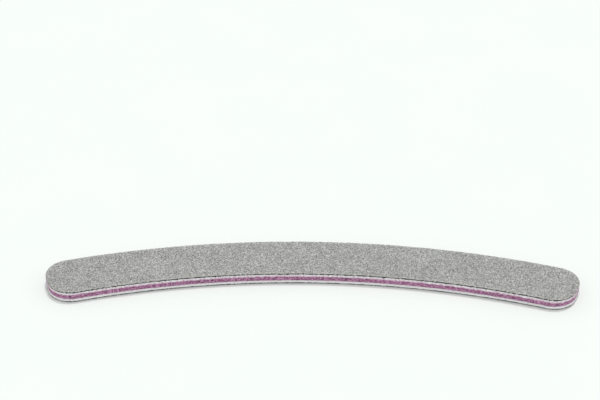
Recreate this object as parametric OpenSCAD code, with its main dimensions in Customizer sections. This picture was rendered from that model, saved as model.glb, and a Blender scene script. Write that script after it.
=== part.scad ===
// Curved, cushioned emery board: a flat laminate of thin layers, die-cut
// together, with grit on both faces. Lengths are in millimetres.
// It lies on the XY plane, its long side along X and its hollow edge facing -Y.

/* [Outline] */
// Length of the board, measured along the middle of its curve
board_length = 178; // [120:1:240]
// Width of the board, square to its curve
board_width = 19; // [14:0.5:30]
// Radius of the curve along the middle of the board
curve_radius = 255; // [180:5:600]
// Radius of the four rounded corners, held to half the width at most
corner_radius = 8; // [1:0.25:12]

/* [Layers] */
// Thickness of the plastic core in the middle
core_thickness = 1.4; // [0.5:0.05:3]
// Thickness of each foam cushion
foam_thickness = 0.8; // [0.4:0.05:3]
// Thickness of each glue film between a foam and the core
core_glue_thickness = 0.05; // [0.03:0.01:0.2]
// Thickness of each glue film between a foam and its abrasive paper
paper_glue_thickness = 0.05; // [0.03:0.01:0.2]
// Thickness of the backing paper that carries the grit
paper_thickness = 0.2; // [0.1:0.02:0.5]
// Thickness of the coat of bonded grit
grit_thickness = 0.2; // [0.08:0.02:0.5]

/* [Hidden] */

// Fineness of the arcs
$fn = 360;

// Shortest straight cut that is left at an end when the corners are large
least_end_cut = 0.4;

// The two long edges are arcs about one centre
outer_radius = curve_radius + board_width / 2;
inner_radius = curve_radius - board_width / 2;
half_angle = board_length / 2 / curve_radius * 180 / PI;

// Each corner is a circle that touches one long edge and the end cut
corner = min(corner_radius, (board_width - least_end_cut) / 2);
outer_corner_orbit = outer_radius - corner;
inner_corner_orbit = inner_radius + corner;
outer_corner_angle = half_angle - asin(corner / outer_corner_orbit);
inner_corner_angle = half_angle - asin(corner / inner_corner_orbit);

// The outline lies between these, and its middle is put on the X axis
high_y = outer_radius;
low_y = inner_corner_orbit * cos(inner_corner_angle) - corner;

// Heights at which the layers begin, from the bottom up
lower_grit_z = 0;
lower_paper_z = lower_grit_z + grit_thickness;
lower_paper_glue_z = lower_paper_z + paper_thickness;
lower_foam_z = lower_paper_glue_z + paper_glue_thickness;
lower_core_glue_z = lower_foam_z + foam_thickness;
core_z = lower_core_glue_z + core_glue_thickness;
upper_core_glue_z = core_z + core_thickness;
upper_foam_z = upper_core_glue_z + core_glue_thickness;
upper_paper_glue_z = upper_foam_z + foam_thickness;
upper_paper_z = upper_paper_glue_z + paper_glue_thickness;
upper_grit_z = upper_paper_z + paper_thickness;

// A point at a radius from the curve's centre, at an angle from the middle of the board
function polar_point(radius, angle) = [radius * sin(angle), radius * cos(angle)];

// The band between the long edges, out to where the corner circles touch them
module curved_band() {
    outer_touch = polar_point(outer_radius, outer_corner_angle);
    inner_touch = polar_point(inner_radius, inner_corner_angle);
    high_end = 2 * outer_touch - inner_touch;
    low_end = 2 * inner_touch - outer_touch;
    intersection() {
        difference() {
            circle(r = outer_radius);
            circle(r = inner_radius);
        }
        polygon([[-low_end.x, 0], [-low_end.x, low_end.y], [-high_end.x, high_end.y],
                 high_end, low_end, [low_end.x, 0]]);
    }
}

// One end of the board: two corner circles and the straight cut between them
module rounded_end() {
    outer_centre = polar_point(outer_corner_orbit, outer_corner_angle);
    inner_centre = polar_point(inner_corner_orbit, inner_corner_angle);
    outward = corner * [cos(half_angle), -sin(half_angle)];
    translate(outer_centre) circle(r = corner);
    translate(inner_centre) circle(r = corner);
    polygon([inner_centre - outward, inner_centre + outward,
             outer_centre + outward, outer_centre - outward]);
}

module board_outline() {
    translate([0, -(high_y + low_y) / 2]) {
        curved_band();
        rounded_end();
        mirror([1, 0]) rounded_end();
    }
}

// One layer of the laminate, cut to the outline of the board
module layer(bottom_z, thickness) {
    translate([0, 0, bottom_z])
        linear_extrude(height = thickness)
            board_outline();
}

module lower_grit_coat() {
    color("#a5a5a2") layer(lower_grit_z, grit_thickness);
}

module lower_backing_paper() {
    color("#737071") layer(lower_paper_z, paper_thickness);
}

module lower_paper_glue() {
    color("#dcd9d2") layer(lower_paper_glue_z, paper_glue_thickness);
}

module lower_foam_cushion() {
    color("#e2dfe4") layer(lower_foam_z, foam_thickness);
}

module lower_core_glue() {
    color("#d9d3da") layer(lower_core_glue_z, core_glue_thickness);
}

module plastic_core() {
    color("#8a3f70") layer(core_z, core_thickness);
}

module upper_core_glue() {
    color("#d9d3da") layer(upper_core_glue_z, core_glue_thickness);
}

module upper_foam_cushion() {
    color("#e2dfe4") layer(upper_foam_z, foam_thickness);
}

module upper_paper_glue() {
    color("#dcd9d2") layer(upper_paper_glue_z, paper_glue_thickness);
}

module upper_backing_paper() {
    color("#737071") layer(upper_paper_z, paper_thickness);
}

module upper_grit_coat() {
    color("#a5a5a2") layer(upper_grit_z, grit_thickness);
}

lower_grit_coat();
lower_backing_paper();
lower_paper_glue();
lower_foam_cushion();
lower_core_glue();
plastic_core();
upper_core_glue();
upper_foam_cushion();
upper_paper_glue();
upper_backing_paper();
upper_grit_coat();
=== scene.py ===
import math

import bpy
import numpy as np

from mathutils.kdtree import KDTree
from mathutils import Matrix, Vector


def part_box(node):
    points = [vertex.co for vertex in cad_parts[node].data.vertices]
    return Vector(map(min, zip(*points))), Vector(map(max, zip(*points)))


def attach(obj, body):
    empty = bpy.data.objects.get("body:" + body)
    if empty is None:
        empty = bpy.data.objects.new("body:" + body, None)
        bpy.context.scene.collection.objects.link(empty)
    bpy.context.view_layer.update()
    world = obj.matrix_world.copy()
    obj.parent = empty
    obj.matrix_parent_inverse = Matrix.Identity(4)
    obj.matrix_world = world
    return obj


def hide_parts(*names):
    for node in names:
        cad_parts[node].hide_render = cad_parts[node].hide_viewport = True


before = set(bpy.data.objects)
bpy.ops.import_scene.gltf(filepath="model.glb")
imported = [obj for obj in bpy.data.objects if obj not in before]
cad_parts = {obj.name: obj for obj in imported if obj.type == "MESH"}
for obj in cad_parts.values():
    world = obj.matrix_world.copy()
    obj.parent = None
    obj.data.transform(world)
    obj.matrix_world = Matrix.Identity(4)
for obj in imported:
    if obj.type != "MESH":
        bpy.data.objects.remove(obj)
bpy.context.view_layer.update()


# Plastic core
# The stiff middle of the board, a sheet of magenta polystyrene. A steel rule cuts it together with all
# that is glued to it, and leaves a scuffed edge: marks across it, rounded arrises and pale, stressed flecks.

MM = 0.001

BOARD_LENGTH = 178 * MM  # along the middle of the curve
BOARD_WIDTH = 19 * MM
CURVE_RADIUS = 255 * MM  # of the middle of the board
CORNER_RADIUS = 8 * MM

outer_radius = CURVE_RADIUS + BOARD_WIDTH / 2
inner_radius = CURVE_RADIUS - BOARD_WIDTH / 2
half_angle = BOARD_LENGTH / 2 / CURVE_RADIUS
outer_orbit = outer_radius - CORNER_RADIUS  # of the corners' centres, round the curve's centre
inner_orbit = inner_radius + CORNER_RADIUS
outer_corner_angle = half_angle - math.asin(CORNER_RADIUS / outer_orbit)
inner_corner_angle = half_angle - math.asin(CORNER_RADIUS / inner_orbit)
even_angle = min(outer_corner_angle, inner_corner_angle)  # up to which no corner narrows the board
outline_low_y = inner_orbit * math.cos(inner_corner_angle) - CORNER_RADIUS  # from the curve's centre
outline_middle_y = (outer_radius + outline_low_y) / 2  # which is where y is 0 in the frame


def corner_reach(turn, orbit, corner_angle):
    """Where a ray from the curve's centre passes nearest a corner's centre, and the corner's reach there."""
    aside = orbit * np.sin(turn - corner_angle)
    return orbit * np.cos(turn - corner_angle), np.sqrt(np.maximum(CORNER_RADIUS**2 - aside**2, 0))


def edge_radii(angles):
    """The board's inner and outer edge, as distances from the curve's centre at these angles."""
    turn = np.abs(angles)
    middle, reach = corner_reach(turn, inner_orbit, inner_corner_angle)
    inner = np.where(turn > inner_corner_angle, middle - reach, inner_radius)
    middle, reach = corner_reach(turn, outer_orbit, outer_corner_angle)
    outer = np.where(turn > outer_corner_angle, middle + reach, outer_radius)
    return inner, outer


def board_grid(pitch, rows):
    """Points over the outline, in columns from its inner to its outer edge, which crowd at the corners."""
    even = np.linspace(0, even_angle, math.ceil(even_angle * CURVE_RADIUS / pitch) + 1)
    quarter = np.linspace(0, math.pi / 2, math.ceil(CORNER_RADIUS * math.pi / 2 / pitch) + 1)
    rounding = even_angle + (half_angle - even_angle) * np.sin(quarter[1:])
    right_half = np.concatenate([even, rounding])
    angles = np.concatenate([-right_half[:0:-1], right_half])
    inner, outer = edge_radii(angles)
    across = np.linspace(0, 1, rows + 1)
    radii = inner[:, None] + (outer - inner)[:, None] * across
    x = radii * np.sin(angles)[:, None]
    y = radii * np.cos(angles)[:, None] - outline_middle_y
    return np.stack([x, y], axis=-1)


def rim_order(columns, rows):
    """Which of a grid's points lie on its rim, once round the board and anticlockwise from above."""
    index = np.arange(columns * (rows + 1)).reshape(columns, rows + 1)
    return np.concatenate([index[:, 0], index[-1, 1:-1], index[::-1, -1], index[0, -2:0:-1]])


def rim_directions(rim):
    """The outward direction at each rim point, each point's distance along the rim, and the rim's length."""
    ahead = np.roll(rim, -1, axis=0) - rim
    steps = np.hypot(*ahead.T)
    tangent = ahead / steps[:, None] + np.roll(ahead / steps[:, None], 1, axis=0)
    tangent /= np.hypot(*tangent.T)[:, None]
    outward = np.stack([tangent[:, 1], -tangent[:, 0]], axis=-1)
    return outward, np.concatenate([[0], np.cumsum(steps)[:-1]]), steps.sum()


def patches(seed, along, up, whole, long_step, up_step):
    """Smooth random values from 0 to 1 over a rim, in patches of two steps, that close round the board."""
    columns = max(4, round(whole / long_step))
    rows = math.ceil(np.max(up) / up_step) + 2
    table = np.random.default_rng(seed).random((columns, rows))
    across, upward = along / whole * columns, up / up_step
    column, row = np.floor(across).astype(int), np.floor(upward).astype(int)
    right, above = across - column, upward - row
    right, above = right * right * (3 - 2 * right), above * above * (3 - 2 * above)
    low = table[column % columns, row] * (1 - right) + table[(column + 1) % columns, row] * right
    high = table[column % columns, row + 1] * (1 - right) + table[(column + 1) % columns, row + 1] * right
    return low * (1 - above) + high * above


def cap_faces(columns, rows, first):
    """Faces across a layer between its long edges, facing up, on rim points that start at number first."""
    inner = first + np.arange(columns)
    right = first + columns + np.arange(rows - 1)
    outer = first + 2 * columns + rows - 2 - np.arange(columns)
    left = first + 2 * columns + rows - 1 + np.arange(rows - 1)
    faces = [(inner[one], inner[one + 1], outer[one + 1], outer[one]) for one in range(1, columns - 2)]
    faces.append((inner[-2], inner[-1], *right, outer[-1], outer[-2]))
    faces.append((inner[0], inner[1], outer[1], outer[0], *left))
    return faces


def wall_faces(rims):
    """Faces of the cut edge, between each row of rim points and the one above it."""
    rims = np.asarray(rims)
    after = np.roll(rims, -1, axis=1)
    return np.stack([rims[:-1], after[:-1], after[1:], rims[1:]], axis=-1).reshape(-1, 4)


LAYOUT_GAP = 0.3 * MM  # between neighbours in a layout
HIDDEN_SCALE = 0.02  # of faces that lie hidden in the board, in a layout


def wall_layout(along, whole, levels, height, length):
    """Where the faces of a cut edge lie in the UV layout for baked pictures, in metres: the edge is cut in
    lengths that lie one above the other, because one long strip would leave each picture few pixels for it.
    Also, how high they reach."""
    number = along // length
    left, right = along - number * length, np.append(along[1:], whole) - number * length
    layout = []
    for level in range(levels):
        low = number * (height + LAYOUT_GAP) + height * level / levels
        high = low + height / levels
        layout.append(np.stack([left, low, right, low, right, high, left, high], axis=-1).reshape(-1, 4, 2))
    return np.concatenate(layout), layout[-1][..., 1].max() + LAYOUT_GAP


def cap_layout(faces, points, scale, left, bottom):
    """Where faces that lie hidden in the board go in the pictures, at a small scale."""
    place = (points[:, :2] - points[:, :2].min(axis=0)) * scale + (left, bottom)
    return [place[list(map(int, face))] for face in faces]


def shell(name, points, flat_faces, smooth_faces, layout, material, replaced):
    """Makes a closed piece of the board from its points and faces, which stands for one solid."""
    mesh = bpy.data.meshes.new(name)
    faces = [list(map(int, face)) for face in (*flat_faces, *smooth_faces)]
    mesh.from_pydata(points.tolist(), [], faces)
    mesh.materials.append(material)
    mesh.polygons.foreach_set("use_smooth", [False] * len(flat_faces) + [True] * len(smooth_faces))
    corners = np.concatenate(layout) + LAYOUT_GAP
    corners /= corners.max() + LAYOUT_GAP
    mesh.uv_layers.new(name="OFBake").data.foreach_set("uv", corners.ravel())
    mesh.update()
    piece = bpy.data.objects.new(name, mesh)
    bpy.context.collection.objects.link(piece)
    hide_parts(replaced)
    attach(piece, "root")
    return piece


def cut_sheet(name, node, material, pitch, levels, shape_of_edge, lip=None):
    """A die-cut sheet in a solid's place. shape_of_edge(along, up, whole, thick) says how far in its edge
    lies, and lip(along, whole) how far its lowest edge was dragged down over the sheet below."""
    lip_depth = 0.3 * MM  # from the cut to where a dragged lip hangs on to its sheet
    low_z, high_z = (corner.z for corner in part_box(node))
    thick = high_z - low_z
    end_rows = math.ceil((BOARD_WIDTH - 2 * CORNER_RADIUS) / pitch)
    grid = board_grid(pitch, end_rows)
    columns = len(grid)
    rim = grid.reshape(-1, 2)[rim_order(columns, end_rows)]
    outward, along, whole = rim_directions(rim)
    rows = []
    for share in np.linspace(0, 1, levels + 1):
        up = np.full(len(rim), share * thick)
        place = rim - outward * shape_of_edge(along, up, whole, thick)[:, None]
        rows.append(np.column_stack([place, low_z + up]))
    if lip:
        rows[0][:, 2] -= lip(along, whole)
        rows.insert(0, np.column_stack([rim - outward * lip_depth, np.full(len(rim), low_z)]))
    points = np.concatenate(rows)
    rims = np.arange(len(points)).reshape(len(rows), len(rim))
    bottom = [face[::-1] for face in cap_faces(columns, end_rows, 0)]
    top = cap_faces(columns, end_rows, rims[-1, 0])
    walls, reach = wall_layout(along, whole, len(rows) - 1, thick, math.sqrt(whole * (thick + LAYOUT_GAP)))
    beside = BOARD_LENGTH * HIDDEN_SCALE + LAYOUT_GAP
    layout = [*cap_layout(bottom, points, HIDDEN_SCALE, 0, reach),
              *cap_layout(top, points, HIDDEN_SCALE, beside, reach), *walls]
    return shell(name, points, bottom + top, wall_faces(rims), layout, material, node)


def linear(hex_colour):
    """A colour written as sRGB hex, in linear light."""
    parts = [int(hex_colour[start : start + 2], 16) / 255 for start in (1, 3, 5)]
    return (*[part / 12.92 if part <= 0.04045 else ((part + 0.055) / 1.055) ** 2.4 for part in parts], 1)


def add(tree, kind, settings, inputs):
    """Adds a node. The setting stops gives a ramp's colours, each a place from 0 to 1 and a hex colour. An
    input goes by its name or its number, and takes a value, an output, or a node's first live output."""
    node = tree.nodes.new(kind)
    for name, value in settings.items():
        if name == "stops":
            while len(node.color_ramp.elements) < len(value):
                node.color_ramp.elements.new(0.5)
            for element, (place, colour) in zip(node.color_ramp.elements, value):
                element.position, element.color = place, linear(colour)
        else:
            setattr(node, name, value)
    for key, value in inputs.items():
        if isinstance(key, int):
            socket = node.inputs[key]
        else:
            socket = next(found for found in node.inputs if found.name == key and found.enabled)
        if isinstance(value, bpy.types.Node):
            value = next(found for found in value.outputs if found.enabled)
        if isinstance(value, bpy.types.NodeSocket):
            tree.links.new(value, socket)
        else:
            socket.default_value = value
    return node


def new_material(name):
    """An empty material, its tree, and the coordinates of the object, in metres."""
    material = bpy.data.materials.new(name)
    material.use_nodes = True
    material.node_tree.nodes.clear()
    place = add(material.node_tree, "ShaderNodeTexCoord", {}, {}).outputs["Object"]
    return material, material.node_tree, place


def magenta_polystyrene():
    # Polystyrene sheet, coloured in the melt and sheared by the die. Its cut edge is satin, not glossy. The
    # drag of the rule mottles it with darker, redder and paler patches of about half a millimetre, and
    # flecks it with stress marks.
    scuff_length, scuff_height, rule_mark, fleck = 0.62 * MM, 0.45 * MM, 0.16 * MM, 0.4 * MM
    mark_shape = 0.15  # a rule mark's width for its height
    material, tree, place = new_material("magenta_polystyrene")
    flat = add(tree, "ShaderNodeMapping", {}, {
        "Vector": place, "Scale": (1, 1, scuff_length / scuff_height)})
    scuffs = add(tree, "ShaderNodeTexNoise", {}, {"Vector": flat, "Scale": 1 / scuff_length, "Detail": 2.0})
    upright = add(tree, "ShaderNodeMapping", {}, {"Vector": place, "Scale": (1, 1, mark_shape)})
    marks = add(tree, "ShaderNodeTexNoise", {}, {"Vector": upright, "Scale": 1 / rule_mark, "Detail": 2.0})
    flecks = add(tree, "ShaderNodeTexNoise", {}, {"Vector": flat, "Scale": 1 / fleck, "Detail": 1.0})
    body = add(tree, "ShaderNodeValToRGB", {
        "stops": [(0.38, "#5c2448"), (0.5, "#a35488"), (0.62, "#cf92c0")]}, {"Fac": scuffs})
    lines = add(tree, "ShaderNodeValToRGB", {"stops": [(0.3, "#8a8a8a"), (0.6, "#ffffff")]}, {"Fac": marks})
    marked = add(tree, "ShaderNodeMix", {"data_type": "RGBA", "blend_type": "MULTIPLY"}, {
        "Factor": 0.45, "A": body, "B": lines})
    stressed = add(tree, "ShaderNodeValToRGB", {
        "stops": [(0.54, "#000000"), (0.68, "#d8d8d8")]}, {"Fac": flecks})
    colour = add(tree, "ShaderNodeMix", {"data_type": "RGBA"}, {
        "Factor": stressed, "A": marked, "B": linear("#dcb4d0")})
    dull = add(tree, "ShaderNodeMapRange", {}, {"Value": scuffs, "To Min": 0.38, "To Max": 0.66})
    rough = add(tree, "ShaderNodeBump", {}, {"Height": marks, "Strength": 0.35, "Distance": 0.02 * MM})
    shader = add(tree, "ShaderNodeBsdfPrincipled", {}, {
        "Base Color": colour, "Roughness": dull, "Normal": rough, "IOR": 1.59})
    add(tree, "ShaderNodeOutputMaterial", {}, {"Surface": shader})
    return material


def core_edge(along, up, whole, thick):
    """The rule drags fine ribs across the sheet and rounds its two arrises."""
    rib_depth, wave_depth, arris_depth, arris_height = 0.012 * MM, 0.02 * MM, 0.05 * MM, 0.12 * MM
    ribs = patches(11, along, up, whole, long_step=0.22 * MM, up_step=2 * MM)
    waves = patches(12, along, up, whole, long_step=1.6 * MM, up_step=0.5 * MM)
    arris = np.clip(1 - np.minimum(up, thick - up) / arris_height, 0, 1) ** 2
    return rib_depth * ribs + wave_depth * waves + arris_depth * arris


cut_sheet("core_sheet", "plastic_core", magenta_polystyrene(),
          pitch=0.2 * MM, levels=10, shape_of_edge=core_edge)


# Core glue films
# A coat of acrylic pressure glue on each face of the core holds the foams. The rule squeezes it out a
# little in places and pulls it back in others, so that it shows as a thin, milky, uneven line.

SIDES = ("lower", "upper")
DARK_LATEX = "#302d2e"  # as a thin smear of it looks


def latex_smear(tree, place):
    """How much dark latex the rule dragged down from the upper paper, from 0 to 1, in thinning tongues."""
    spot, reach = 0.5 * MM, 0.5 * MM
    tongue_shape = 0.3  # a tongue's width for its height
    paper_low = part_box("upper_backing_paper")[0].z
    height = add(tree, "ShaderNodeSeparateXYZ", {}, {"Vector": place}).outputs["Z"]
    thinning = add(tree, "ShaderNodeMapRange", {}, {
        "Value": height, "From Min": paper_low - reach, "From Max": paper_low, "To Min": 0.3, "To Max": 0.0})
    upright = add(tree, "ShaderNodeMapping", {}, {"Vector": place, "Scale": (1, 1, tongue_shape)})
    spots = add(tree, "ShaderNodeTexNoise", {}, {"Vector": upright, "Scale": 1 / spot, "Detail": 3.0})
    left = add(tree, "ShaderNodeMath", {"operation": "SUBTRACT"}, {0: spots, 1: thinning})
    return add(tree, "ShaderNodeMapRange", {}, {
        "Value": left, "From Min": 0.45, "From Max": 0.51, "To Min": 0.0, "To Max": 0.9})


def milky_glue():
    # Acrylic pressure glue, milky and slightly tacky. It picks up dust from the cut and shows a little grey.
    dust = 0.8 * MM
    material, tree, place = new_material("milky_acrylic_glue")
    grime = add(tree, "ShaderNodeTexNoise", {}, {"Vector": place, "Scale": 1 / dust, "Detail": 3.0})
    milky = add(tree, "ShaderNodeValToRGB", {
        "stops": [(0.35, "#b9adb8"), (0.65, "#e4dde3")]}, {"Fac": grime})
    colour = add(tree, "ShaderNodeMix", {"data_type": "RGBA"}, {
        "Factor": latex_smear(tree, place), "A": milky, "B": linear(DARK_LATEX)})
    wet = add(tree, "ShaderNodeMapRange", {}, {"Value": grime, "To Min": 0.22, "To Max": 0.5})
    shader = add(tree, "ShaderNodeBsdfPrincipled", {}, {"Base Color": colour, "Roughness": wet, "IOR": 1.47})
    add(tree, "ShaderNodeOutputMaterial", {}, {"Surface": shader})
    return material


glue = milky_glue()


def squeezed_edge(seed):
    """How far in a glue line lies: even with the cut where it came out, deeper where it pulled back."""
    deepest = 0.09 * MM

    def edge(along, up, whole, thick):
        return deepest * patches(seed, along, up, whole, long_step=0.9 * MM, up_step=1 * MM) ** 2
    return edge


for number, side in enumerate(SIDES):
    cut_sheet(f"{side}_core_glue_line", f"{side}_core_glue", glue,
              pitch=0.3 * MM, levels=1, shape_of_edge=squeezed_edge(21 + number))


# Foam cushions
# White closed-cell foam on each side of the core lets the grit give under the nail. The rule squashes it,
# and it springs back a little short of the sheets above and below. The cut opens its cells as fine pores.

def closed_cell_foam():
    # Closed-cell foam of EVA, whitened in the melt. Its cut edge is quite matt, and its opened cells are
    # about 0.2 mm wide. Their shade is painted: each cell is darker at its middle, where its pit lies, and
    # clumps of pores about 0.9 mm wide are painted darker too, since pores that fine fall between the pixels
    # of a whole view. The rule smears magenta dust from the core over the foam in streaks, a little on its
    # way down and more on its way back up. Dark latex from the upper paper is dragged down over it too.
    cell, clump, streak, reach_down, reach_up = 0.2 * MM, 0.9 * MM, 0.8 * MM, 0.35 * MM, 0.75 * MM
    streak_shape = 0.3  # a streak's width for its height
    material, tree, place = new_material("closed_cell_foam")
    cells = add(tree, "ShaderNodeTexVoronoi", {"feature": "F1"}, {"Vector": place, "Scale": 1 / cell})
    clumps = add(tree, "ShaderNodeTexNoise", {}, {"Vector": place, "Scale": 1 / clump, "Detail": 4.0})
    # painted shade: each opened cell is darker at its middle, where its pit lies
    painted_pore_shade = add(tree, "ShaderNodeValToRGB", {"stops": [(0.15, "#e0dde1"), (0.5, "#ffffff")]}, {
        "Fac": cells.outputs["Distance"]})
    # painted shade too: darker clumps of pores, about 0.9 mm across
    body = add(tree, "ShaderNodeValToRGB", {
        "stops": [(0.3, "#e9e4e9"), (0.5, "#f9f6f9"), (0.7, "#fdfcfd")]}, {"Fac": clumps})
    white = add(tree, "ShaderNodeMix", {"data_type": "RGBA", "blend_type": "MULTIPLY"}, {
        "Factor": 0.5, "A": body, "B": painted_pore_shade})
    core_low, core_high = (corner.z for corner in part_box("plastic_core"))
    height = add(tree, "ShaderNodeSeparateXYZ", {}, {"Vector": place}).outputs["Z"]
    below = add(tree, "ShaderNodeMapRange", {}, {
        "Value": height, "From Min": core_low - reach_down, "From Max": core_low,
        "To Min": 0.0, "To Max": 1.0})
    above = add(tree, "ShaderNodeMapRange", {}, {
        "Value": height, "From Min": core_high, "From Max": core_high + reach_up,
        "To Min": 1.0, "To Max": 0.0})
    near = add(tree, "ShaderNodeMath", {"operation": "MULTIPLY"}, {0: below, 1: above})
    upright = add(tree, "ShaderNodeMapping", {}, {"Vector": place, "Scale": (1, 1, streak_shape)})
    streaks = add(tree, "ShaderNodeTexNoise", {}, {"Vector": upright, "Scale": 1 / streak, "Detail": 2.0})
    patchy = add(tree, "ShaderNodeMapRange", {}, {
        "Value": streaks, "From Min": 0.36, "From Max": 0.66, "To Min": 0.15, "To Max": 1.0})
    dusted = add(tree, "ShaderNodeMath", {"operation": "MULTIPLY"}, {0: near, 1: patchy})
    tinted = add(tree, "ShaderNodeMix", {"data_type": "RGBA"}, {
        "Factor": dusted, "A": white, "B": linear("#c077a6")})
    colour = add(tree, "ShaderNodeMix", {"data_type": "RGBA"}, {
        "Factor": latex_smear(tree, place), "A": tinted, "B": linear(DARK_LATEX)})
    pitted = add(tree, "ShaderNodeBump", {}, {
        "Height": cells.outputs["Distance"], "Strength": 0.5, "Distance": 0.05 * MM})
    shader = add(tree, "ShaderNodeBsdfPrincipled", {}, {
        "Base Color": colour, "Roughness": 0.92, "Normal": pitted, "IOR": 1.48})
    add(tree, "ShaderNodeOutputMaterial", {}, {"Surface": shader})
    return material


foam = closed_cell_foam()


def share_past(values, start, span):
    """How far past the start each value lies, as a share of the span, from 0 to 1."""
    return np.clip((values - start) / span, 0, 1)


def sprung_edge(seed):
    """A hollow between the sheets, with the pits of the cells that the cut opened."""
    least_hollow, more_hollow, pit_depth = 0.03 * MM, 0.06 * MM, 0.07 * MM

    def edge(along, up, whole, thick):
        hollow = np.sin(np.pi * up / thick)
        sway = patches(seed, along, up, whole, long_step=4 * MM, up_step=2 * MM)
        cells = patches(seed + 1, along, up, whole, long_step=0.24 * MM, up_step=0.2 * MM)
        pits = share_past(cells, start=0.6, span=0.25)
        return hollow * (least_hollow + more_hollow * sway) + pit_depth * pits * hollow**0.5
    return edge


def dragged_lip(seed, deepest, step):
    """Scallops of foam that the rule, coming from above, dragged down over the sheet below."""
    def lip(along, whole):
        scallops = patches(seed, along, np.zeros_like(along), whole, long_step=step, up_step=1 * MM)
        return deepest * share_past(scallops, start=0.35, span=0.4)
    return lip


lips = {"lower": dragged_lip(35, 0.13 * MM, 1.3 * MM), "upper": dragged_lip(36, 0.12 * MM, 0.8 * MM)}
for number, side in enumerate(SIDES):
    pad = cut_sheet(f"{side}_foam_sheet", f"{side}_foam_cushion", foam,
                    pitch=0.12 * MM, levels=8, shape_of_edge=sprung_edge(31 + 2 * number), lip=lips[side])


# Paper glue films
# The same glue holds each abrasive paper to its foam. The rule squeezed it out and pulled it back in the
# same way, and the dark latex that came down with the rule covers much of the upper line.

for number, side in enumerate(SIDES):
    cut_sheet(f"{side}_paper_glue_line", f"{side}_paper_glue", glue,
              pitch=0.3 * MM, levels=1, shape_of_edge=squeezed_edge(41 + number))


# Backing papers
# Dark grey latex-filled paper carries the grit. It is harder to cut than the foam, and its edge is left
# ragged: fibres tear out and leave short gaps, which break up the dark line that runs round the board.

def torn_spots(tree, place):
    """Where the rule tore the paper, from 0 to nearly 1: ragged spots that are a little taller than wide."""
    tear = 0.8 * MM
    tear_shape = 0.6  # a tear's width for its height
    upright = add(tree, "ShaderNodeMapping", {}, {"Vector": place, "Scale": (1, 1, tear_shape)})
    tears = add(tree, "ShaderNodeTexNoise", {}, {"Vector": upright, "Scale": 1 / tear, "Detail": 4.0})
    return add(tree, "ShaderNodeValToRGB", {"stops": [(0.53, "#000000"), (0.6, "#e0e0e0")]}, {"Fac": tears})


def latex_paper():
    # Kraft paper filled with dark latex. Its cut edge is matt and fibrous. Where the rule tore it, its pale
    # inner fibres stand out or grit dust sticks to it, so that the dark line breaks up into dashes.
    fibre_length, fibre_width = 0.9 * MM, 0.06 * MM
    material, tree, place = new_material("dark_latex_paper")
    flat = add(tree, "ShaderNodeMapping", {}, {
        "Vector": place, "Scale": (1, 1, fibre_length / fibre_width)})
    fibres = add(tree, "ShaderNodeTexNoise", {}, {"Vector": flat, "Scale": 1 / fibre_length, "Detail": 4.0})
    body = add(tree, "ShaderNodeValToRGB", {
        "stops": [(0.3, "#131212"), (0.55, "#242222"), (0.75, "#4c4949")]}, {"Fac": fibres})
    colour = add(tree, "ShaderNodeMix", {"data_type": "RGBA"}, {
        "Factor": torn_spots(tree, place), "A": body, "B": linear("#c8c4c2")})
    shader = add(tree, "ShaderNodeBsdfPrincipled", {}, {"Base Color": colour, "Roughness": 0.9, "IOR": 1.5})
    add(tree, "ShaderNodeOutputMaterial", {}, {"Surface": shader})
    return material


paper = latex_paper()


def torn_edge(seed):
    """A ragged line, with short gaps where bundles of fibre tore out."""
    wander_depth, fibre_depth, tear_depth = 0.03 * MM, 0.03 * MM, 0.12 * MM

    def edge(along, up, whole, thick):
        wander = patches(seed, along, up, whole, long_step=0.7 * MM, up_step=1 * MM)
        fibres = patches(seed + 1, along, up, whole, long_step=0.2 * MM, up_step=0.1 * MM)
        bundles = patches(seed + 2, along, up, whole, long_step=1.1 * MM, up_step=1 * MM)
        tears = share_past(bundles, start=0.62, span=0.3)
        return wander_depth * wander + fibre_depth * fibres + tear_depth * tears
    return edge


for number, side in enumerate(SIDES):
    cut_sheet(f"{side}_paper_sheet", f"{side}_backing_paper", paper,
              pitch=0.18 * MM, levels=2, shape_of_edge=torn_edge(51 + 3 * number))


# Grit coats
# Mineral grit of medium grade is bonded to each paper in resin and sized with a pale, soapy coat that
# sheds nail dust. The face is a close bed of crystals, grey as a whole. The cut crushes its rim, chips it
# and bares the dark resin at its side.

GRIT_PITCH = 0.2 * MM  # between neighbouring crystals of the bed
GRIT_ROWS = round(BOARD_WIDTH / GRIT_PITCH)
GRIT_STRIPS = 3  # that the face is laid out in, for baked pictures
BED_DEPTH = 0.05 * MM  # of resin and sunken grains, over the paper
CRYSTAL_HEIGHT = 0.09 * MM  # of the tallest crystals, over the bed
LOW_CRYSTALS = 1.3  # above 1, more crystals are low than high
SCATTER = 0.7  # share of the pitch over which a crystal is scattered round its even place
CRUSHED_WIDTH = 0.4 * MM  # of the rim that the cut flattened
CRUSHED_SHARE = 0.5  # of a crystal's height that the cut took at the very rim
RUBBLE_HEIGHT = 0.02 * MM  # of what it left packed there, over the bed
DUST_AND_HIGHLIGHT_WIDTH = 1.2 * MM  # of the rim that its dust and a painted highlight pale


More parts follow.
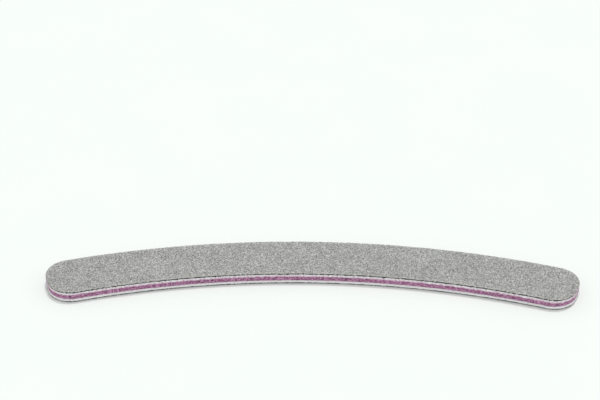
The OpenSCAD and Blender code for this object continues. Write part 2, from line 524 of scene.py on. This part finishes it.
def bonded_grit():
    # Grains of silicon carbide and aluminium oxide under a pale size coat. Each grain has a grey of its own,
    # from near black to near white, and the coat makes the whole matt. The grains are 0.12 mm across, too
    # fine for single ones to show in a whole view, so cells of 0.24 mm stand for the little clumps that do.
    # At the cut the side is bare dark resin, and the same tears as in the paper smear it with pale dust.
    clump, fine, cloud = 0.24 * MM, 0.12 * MM, 5 * MM
    material, tree, place = new_material("bonded_mineral_grit")
    clumps = add(tree, "ShaderNodeTexVoronoi", {"feature": "F1"}, {"Vector": place, "Scale": 1 / clump})
    grains = add(tree, "ShaderNodeTexVoronoi", {"feature": "F1"}, {"Vector": place, "Scale": 1 / fine})
    clouds = add(tree, "ShaderNodeTexNoise", {}, {"Vector": place, "Scale": 1 / cloud, "Detail": 3.0})
    clump_grey = add(tree, "ShaderNodeSeparateColor", {}, {"Color": clumps.outputs["Color"]})
    grain_grey = add(tree, "ShaderNodeSeparateColor", {}, {"Color": grains.outputs["Color"]})
    mixed = add(tree, "ShaderNodeMix", {"data_type": "FLOAT"}, {
        "Factor": 0.38, "A": clump_grey.outputs["Red"], "B": grain_grey.outputs["Red"]})
    greys = add(tree, "ShaderNodeValToRGB", {
        "stops": [(0.0, "#000000"), (0.5, "#a09f9e"), (1.0, "#fbfaf8")]}, {"Fac": mixed})
    shade = add(tree, "ShaderNodeValToRGB", {"stops": [(0.3, "#eeeeee"), (0.7, "#ffffff")]}, {"Fac": clouds})
    coated = add(tree, "ShaderNodeMix", {"data_type": "RGBA", "blend_type": "MULTIPLY"}, {
        "Factor": 1.0, "A": greys, "B": shade})
    inset = add(tree, "ShaderNodeAttribute", {"attribute_name": "inset"}, {}).outputs["Fac"]
    # painted paler towards the rim: partly crushed grit dust, partly a painted highlight along the crushed
    # arris
    dust = add(tree, "ShaderNodeMapRange", {}, {
        "Value": inset, "From Max": DUST_AND_HIGHLIGHT_WIDTH, "To Min": 0.3, "To Max": 0.0})
    dusted_and_highlit = add(tree, "ShaderNodeMix", {"data_type": "RGBA"}, {
        "Factor": dust, "A": coated, "B": linear("#d8d2ce")})
    bare_resin = add(tree, "ShaderNodeValToRGB", {
        "stops": [(0.0, "#121111"), (0.7, "#2c2a2a"), (1.0, "#5e5b5a")]}, {
        "Fac": grain_grey.outputs["Green"]})
    resin = add(tree, "ShaderNodeMix", {"data_type": "RGBA"}, {
        "Factor": torn_spots(tree, place), "A": bare_resin, "B": linear("#bcb9b6")})
    side = add(tree, "ShaderNodeAttribute", {"attribute_name": "cut_side"}, {}).outputs["Fac"]
    colour = add(tree, "ShaderNodeMix", {"data_type": "RGBA"}, {"Factor": side, "A": dusted_and_highlit, "B": resin})
    dull = add(tree, "ShaderNodeMapRange", {}, {"Value": mixed, "To Min": 0.5, "To Max": 0.95})
    sharp = add(tree, "ShaderNodeBump", {}, {
        "Height": grains.outputs["Distance"], "Strength": 0.6, "Distance": 0.05 * MM})
    shader = add(tree, "ShaderNodeBsdfPrincipled", {}, {
        "Base Color": colour, "Roughness": dull, "Normal": sharp, "IOR": 1.6})
    add(tree, "ShaderNodeOutputMaterial", {}, {"Surface": shader})
    return material


grit = bonded_grit()


def distance_from_rim(points, rim):
    """How far each point lies from the nearest point of the rim."""
    tree = KDTree(len(rim))
    for number, (x, y) in enumerate(rim):
        tree.insert((x, y, 0), number)
    tree.balance()
    return np.array([tree.find((x, y, 0))[2] for x, y in points])


def broken_rim(seed, along, whole):
    """How far in the cut broke the coat's rim: by single crystals all along, and by chips in places."""
    least, crystal_depth, chip_depth = 0.02 * MM, 0.08 * MM, 0.3 * MM
    level = np.zeros_like(along)
    chipped = patches(seed + 1, along, level, whole, long_step=0.4 * MM, up_step=1 * MM)
    crystals = patches(seed + 2, along, level, whole, long_step=0.25 * MM, up_step=1 * MM)
    return least + crystal_depth * crystals + chip_depth * share_past(chipped, start=0.5, span=0.2)


def bed_layout(points, bed, strip_length):
    """Where the faces of the bed lie in the UV layout for baked pictures: in strips, one above the other."""
    y = points[:, 1] + outline_middle_y
    along_arc = (np.arctan2(points[:, 0], y) + half_angle) * CURVE_RADIUS
    across = np.hypot(points[:, 0], y) - inner_radius
    strip = np.clip(along_arc[bed].mean(axis=1) // strip_length, 0, GRIT_STRIPS - 1)[:, None]
    return np.stack([along_arc[bed] - strip * strip_length,
                     across[bed] + strip * (BOARD_WIDTH + LAYOUT_GAP)], axis=-1)


def grit_face(side, seed):
    """The closed coat of grit on one side. Its crystals are relief. It stores how far each point lies from
    the rim, and how much of the bare, cut side shows there."""
    waist_share, foot_share = 0.8, 0.4  # of the broken rim's depth, halfway down and at the paper
    under_scale = 0.1  # of the hidden underside, in the layout
    node = f"{side}_grit_coat"
    low_z, high_z = (corner.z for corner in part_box(node))
    rng = np.random.default_rng(seed)
    grid = board_grid(GRIT_PITCH, GRIT_ROWS)
    columns = len(grid)
    order = rim_order(columns, GRIT_ROWS)
    points = grid.reshape(-1, 2).copy()
    rim = points[order]
    outward, along, whole = rim_directions(rim)
    inset = distance_from_rim(points, rim)
    crushed = np.clip(1 - inset / CRUSHED_WIDTH, 0, 1)
    crystals = rng.random(len(points)) ** LOW_CRYSTALS
    height = BED_DEPTH + CRYSTAL_HEIGHT * crystals * (1 - CRUSHED_SHARE * crushed) + RUBBLE_HEIGHT * crushed
    jitter = (rng.random(points.shape) - 0.5) * SCATTER * GRIT_PITCH
    points += np.where(inset[:, None] > GRIT_PITCH, jitter, 0)

    back = broken_rim(seed, along, whole)
    points[order] -= outward * back[:, None]
    waist = np.column_stack([rim - outward * back[:, None] * waist_share, height[order] / 2])
    foot = np.column_stack([rim - outward * back[:, None] * foot_share, np.zeros(len(rim))])
    all_points = np.concatenate([np.column_stack([points, height]), waist, foot])
    waist_rim = len(points) + np.arange(len(rim))
    foot_rim = waist_rim + len(rim)
    index = np.arange(len(points)).reshape(columns, GRIT_ROWS + 1)
    bed = np.stack([index[:-1, :-1], index[1:, :-1], index[1:, 1:], index[:-1, 1:]], axis=-1).reshape(-1, 4)
    under = [face[::-1] for face in cap_faces(columns, GRIT_ROWS, foot_rim[0])]
    faces = [*bed, *wall_faces([foot_rim, waist_rim, order]), *under]

    strip_length = BOARD_LENGTH / GRIT_STRIPS
    walls, reach = wall_layout(along, whole, 2, high_z - low_z, strip_length)
    first_wall = GRIT_STRIPS * (BOARD_WIDTH + LAYOUT_GAP)
    layout = [*bed_layout(points, bed, strip_length), *(walls + (0, first_wall)),
              *cap_layout(under, all_points, under_scale, 0, first_wall + reach)]
    if side == "upper":
        all_points[:, 2] = low_z + all_points[:, 2]
    else:
        all_points[:, 2] = high_z - all_points[:, 2]
        faces = [face[::-1] for face in faces]
        layout = [corners[::-1] for corners in layout]
    piece = shell(f"{side}_grit_face", all_points, faces, [], layout, grit, node)

    bared = patches(seed + 3, along, np.zeros_like(along), whole, long_step=0.4 * MM, up_step=1 * MM)
    on_side = np.zeros(len(points))
    on_side[order] = np.clip(2.2 * bared - 0.5, 0, 1)
    below = 2 * len(rim)  # points of the waist and the foot, which lie on the rim and on the cut side
    stored = {"inset": np.append(inset, np.zeros(below)), "cut_side": np.append(on_side, np.ones(below))}
    for name, values in stored.items():
        piece.data.attributes.new(name, "FLOAT", "POINT").data.foreach_set("value", values)
    return piece


grit_faces = {side: grit_face(side, 61 + 10 * number) for number, side in enumerate(SIDES)}


# Loose-standing grains
# Among the bed stand larger crystals: dark silicon carbide and clear, pale aluminium oxide. They are what
# sparkles and bites. Each is set in the resin by half its depth.

def grain_tree():
    """Scatters crystals of a few irregular shapes over the faces that point to one side."""
    shapes_made = 3
    levelness = 0.3  # the least, of a face that grains lie on: 1 is level and 0 upright
    knock = 0.16  # the most that a crystal's corner lies off the ball's, for a grain of 1
    narrowest, widest = (0.7, 0.7, 0.55), (1.15, 1.15, 0.9)
    tilt = 0.5  # the most, in radians
    tree = bpy.data.node_groups.new("scattered_grains", "GeometryNodeTree")
    tree.interface.new_socket("Geometry", in_out="INPUT", socket_type="NodeSocketGeometry")
    kinds = {"Grains per square metre": "Float", "Smallest grain": "Float", "Largest grain": "Float",
             "Least inset": "Float", "Side": "Float", "Rise": "Float", "Seed": "Int", "Material": "Material"}
    for name, kind in kinds.items():
        tree.interface.new_socket(name, in_out="INPUT", socket_type=f"NodeSocket{kind}")
    tree.interface.new_socket("Geometry", in_out="OUTPUT", socket_type="NodeSocketGeometry")
    given = tree.nodes.new("NodeGroupInput").outputs
    normal = add(tree, "ShaderNodeSeparateXYZ", {}, {"Vector": add(tree, "GeometryNodeInputNormal", {}, {})})
    facing = add(tree, "ShaderNodeMath", {"operation": "MULTIPLY"}, {
        0: normal.outputs["Z"], 1: given["Side"]})
    faces_out = add(tree, "FunctionNodeCompare", {"operation": "GREATER_THAN"}, {
        "A": facing, "B": levelness})
    inset = add(tree, "GeometryNodeInputNamedAttribute", {"data_type": "FLOAT"}, {"Name": "inset"})
    inside = add(tree, "FunctionNodeCompare", {"operation": "GREATER_THAN"}, {
        "A": inset, "B": given["Least inset"]})
    allowed = add(tree, "FunctionNodeBooleanMath", {"operation": "AND"}, {0: faces_out, 1: inside})
    spots = add(tree, "GeometryNodeDistributePointsOnFaces", {"distribute_method": "RANDOM"}, {
        "Mesh": given["Geometry"], "Selection": allowed, "Density": given["Grains per square metre"],
        "Seed": given["Seed"]})
    shapes = add(tree, "GeometryNodeGeometryToInstance", {}, {})
    for number in range(shapes_made):
        ball = add(tree, "GeometryNodeMeshUVSphere", {}, {
            "Segments": 5, "Rings": 2 + number % 2, "Radius": 0.5})
        knocked = add(tree, "FunctionNodeRandomValue", {"data_type": "FLOAT_VECTOR"}, {
            "Min": (-knock,) * 3, "Max": (knock,) * 3, "Seed": 101 + number})
        crystal = add(tree, "GeometryNodeSetPosition", {}, {"Geometry": ball, "Offset": knocked})
        tree.links.new(crystal.outputs["Geometry"], shapes.inputs["Geometry"])
    size = add(tree, "FunctionNodeRandomValue", {"data_type": "FLOAT"}, {
        "Min": given["Smallest grain"], "Max": given["Largest grain"], "Seed": given["Seed"]})
    stretch = add(tree, "FunctionNodeRandomValue", {"data_type": "FLOAT_VECTOR"}, {
        "Min": narrowest, "Max": widest, "Seed": 7})
    scale = add(tree, "ShaderNodeVectorMath", {"operation": "SCALE"}, {"Vector": stretch, "Scale": size})
    turn = add(tree, "FunctionNodeRandomValue", {"data_type": "FLOAT_VECTOR"}, {
        "Min": (-tilt, -tilt, 0.0), "Max": (tilt, tilt, math.tau), "Seed": 8})
    grains = add(tree, "GeometryNodeInstanceOnPoints", {}, {
        "Points": spots.outputs["Points"], "Instance": shapes, "Pick Instance": True, "Rotation": turn,
        "Scale": scale})
    rise = add(tree, "ShaderNodeMath", {"operation": "MULTIPLY"}, {0: given["Rise"], 1: given["Side"]})
    seated = add(tree, "GeometryNodeTranslateInstances", {}, {
        "Instances": grains, "Translation": add(tree, "ShaderNodeCombineXYZ", {}, {"Z": rise}),
        "Local Space": False})
    real = add(tree, "GeometryNodeRealizeInstances", {}, {"Geometry": seated})
    flat = add(tree, "GeometryNodeSetShadeSmooth", {}, {"Geometry": real, "Shade Smooth": False})
    dressed = add(tree, "GeometryNodeSetMaterial", {}, {"Geometry": flat, "Material": given["Material"]})
    add(tree, "NodeGroupOutput", {}, {"Geometry": dressed})
    return tree


def silicon_carbide():
    # Silicon carbide breaks into dark, glassy splinters, which catch the light on one face at a time.
    tone = 0.5 * MM
    material, tree, place = new_material("silicon_carbide_grain")
    tones = add(tree, "ShaderNodeTexNoise", {}, {"Vector": place, "Scale": 1 / tone, "Detail": 2.0})
    colour = add(tree, "ShaderNodeValToRGB", {
        "stops": [(0.3, "#1c1d1f"), (0.55, "#38393b"), (0.75, "#626367")]}, {"Fac": tones})
    shader = add(tree, "ShaderNodeBsdfPrincipled", {}, {"Base Color": colour, "Roughness": 0.34, "IOR": 2.3})
    add(tree, "ShaderNodeOutputMaterial", {}, {"Surface": shader})
    return material


def aluminium_oxide():
    # White fused aluminium oxide: clear, pale splinters with a slightly warm or cool tone of their own.
    tone = 0.5 * MM
    material, tree, place = new_material("aluminium_oxide_grain")
    tones = add(tree, "ShaderNodeTexNoise", {}, {"Vector": place, "Scale": 1 / tone, "Detail": 2.0})
    colour = add(tree, "ShaderNodeValToRGB", {
        "stops": [(0.3, "#c9c6bf"), (0.55, "#e6e4df"), (0.75, "#f6f6f4")]}, {"Fac": tones})
    shader = add(tree, "ShaderNodeBsdfPrincipled", {}, {
        "Base Color": colour, "Roughness": 0.28, "IOR": 1.77})
    add(tree, "ShaderNodeOutputMaterial", {}, {"Surface": shader})
    return material


def scatter_grains(name, side, tree, values, material):
    """Grows one kind of grain on a face of grit, as a plain mesh of its own."""
    scratch = bpy.data.objects.new("grain_bed", grit_faces[side].data)
    bpy.context.collection.objects.link(scratch)
    grower = scratch.modifiers.new("grains", "NODES")
    grower.node_group = tree
    inputs = {item.name: item.identifier for item in tree.interface.items_tree if item.in_out == "INPUT"}
    values = {**values, "Side": 1.0 if side == "upper" else -1.0, "Material": material}
    for label, value in values.items():
        grower[inputs[label]] = value
    grown = scratch.evaluated_get(bpy.context.evaluated_depsgraph_get())
    mesh = bpy.data.meshes.new_from_object(grown)
    bpy.data.objects.remove(scratch)
    mesh.name = name
    place = np.empty(3 * len(mesh.vertices))
    mesh.vertices.foreach_get("co", place)
    lowest, highest = (corner.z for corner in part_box(f"{side}_grit_coat"))
    place[2::3] = np.clip(place[2::3], lowest, highest)
    mesh.vertices.foreach_set("co", place)
    piece = bpy.data.objects.new(name, mesh)
    bpy.context.collection.objects.link(piece)
    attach(piece, "root")
    return piece


# A grain keeps clear of the broken rim, and its middle lies a little below the crystals that carry it
SEAT = {"Least inset": 0.25 * MM, "Rise": -0.02 * MM}
DARK_GRAINS = {**SEAT, "Grains per square metre": 2.3e6,
               "Smallest grain": 0.14 * MM, "Largest grain": 0.26 * MM}
PALE_GRAINS = {**SEAT, "Grains per square metre": 2.1e6,
               "Smallest grain": 0.13 * MM, "Largest grain": 0.25 * MM}
scattering = grain_tree()
dark, pale = silicon_carbide(), aluminium_oxide()
for number, side in enumerate(SIDES):
    scatter_grains(f"{side}_dark_grains", side, scattering, {**DARK_GRAINS, "Seed": 81 + number}, dark)
    scatter_grains(f"{side}_pale_grains", side, scattering, {**PALE_GRAINS, "Seed": 91 + number}, pale)


# Studio
# A plain, pale table under an even white sky, with one broad soft lamp high up and a little behind. The sky
# shows white to the camera and lights the board more dimly, so that the lamp still shapes it and grounds it
# with a shadow.

def table_top():
    # Matt white laminate. Seen from below it lets the view through, so that the underside can be looked at.
    patches_per_metre = 30.0
    material, tree, place = new_material("matt_white_table")
    haze = add(tree, "ShaderNodeTexNoise", {}, {"Vector": place, "Scale": patches_per_metre, "Detail": 2.0})
    colour = add(tree, "ShaderNodeValToRGB", {"stops": [(0.2, "#f6faf8"), (0.8, "#f8fbf9")]}, {"Fac": haze})
    white = add(tree, "ShaderNodeBsdfDiffuse", {}, {"Color": colour})
    clear = add(tree, "ShaderNodeBsdfTransparent", {}, {})
    back = add(tree, "ShaderNodeNewGeometry", {}, {}).outputs["Backfacing"]
    shader = add(tree, "ShaderNodeMixShader", {}, {"Fac": back, 1: white, 2: clear})
    add(tree, "ShaderNodeOutputMaterial", {}, {"Surface": shader})
    return material


TABLE_SIZE = 12.0
half_table = TABLE_SIZE / 2
table_corners = [(half_table * x, half_table * y, 0) for x, y in ((-1, -1), (1, -1), (1, 1), (-1, 1))]
table_mesh = bpy.data.meshes.new("table")
table_mesh.from_pydata(table_corners, [], [(0, 1, 2, 3)])
table_mesh.materials.append(table_top())
table = bpy.data.objects.new("table", table_mesh)
bpy.context.collection.objects.link(table)

SKY_LIGHT = 0.72
world = bpy.data.worlds.new("studio_sky")
bpy.context.scene.world = world
world.use_nodes = True
world.node_tree.nodes.clear()
seen = add(world.node_tree, "ShaderNodeLightPath", {}, {}).outputs["Is Camera Ray"]
strength = add(world.node_tree, "ShaderNodeMapRange", {}, {
    "Value": seen, "To Min": SKY_LIGHT, "To Max": 1.0})
sky = add(world.node_tree, "ShaderNodeBackground", {}, {"Color": linear("#fbfefb"), "Strength": strength})
add(world.node_tree, "ShaderNodeOutputWorld", {}, {"Surface": sky})

LAMP_STRENGTH = 1.07
LAMP_SPREAD = 9  # degrees, which is what softens the shadow
LAMP_HEIGHT, LAMP_BEARING = 72, 160  # degrees above the table, and round the board from its front
lamp = bpy.data.lights.new("softbox", "SUN")
lamp.energy = LAMP_STRENGTH
lamp.angle = math.radians(LAMP_SPREAD)
softbox = bpy.data.objects.new("softbox", lamp)
softbox.rotation_euler = (math.radians(90 - LAMP_HEIGHT), 0, math.radians(LAMP_BEARING))
bpy.context.collection.objects.link(softbox)

# The camera stands where the photograph was taken from: far off, with a long lens, and the board low in view
AIM = np.array([-5.3, 47.7, 0]) * MM
CAMERA_DISTANCE = 637.5 * MM
CAMERA_HEIGHT, CAMERA_TURN = 32.96, -1.52  # degrees above the table, and round the board
LENS = 107.4  # millimetres, as Blender's lens is given
height, turn = math.radians(CAMERA_HEIGHT), math.radians(CAMERA_TURN)
back = np.array([-math.sin(turn) * math.cos(height), -math.cos(turn) * math.cos(height), math.sin(height)])
view = bpy.data.cameras.new("camera")
view.lens = LENS
camera = bpy.data.objects.new("camera", view)
camera.location = AIM + CAMERA_DISTANCE * back
camera.rotation_euler = (math.radians(90 - CAMERA_HEIGHT), 0, -turn)
bpy.context.collection.objects.link(camera)
scene = bpy.context.scene
scene.camera = camera
scene.view_settings.view_transform = "Standard"
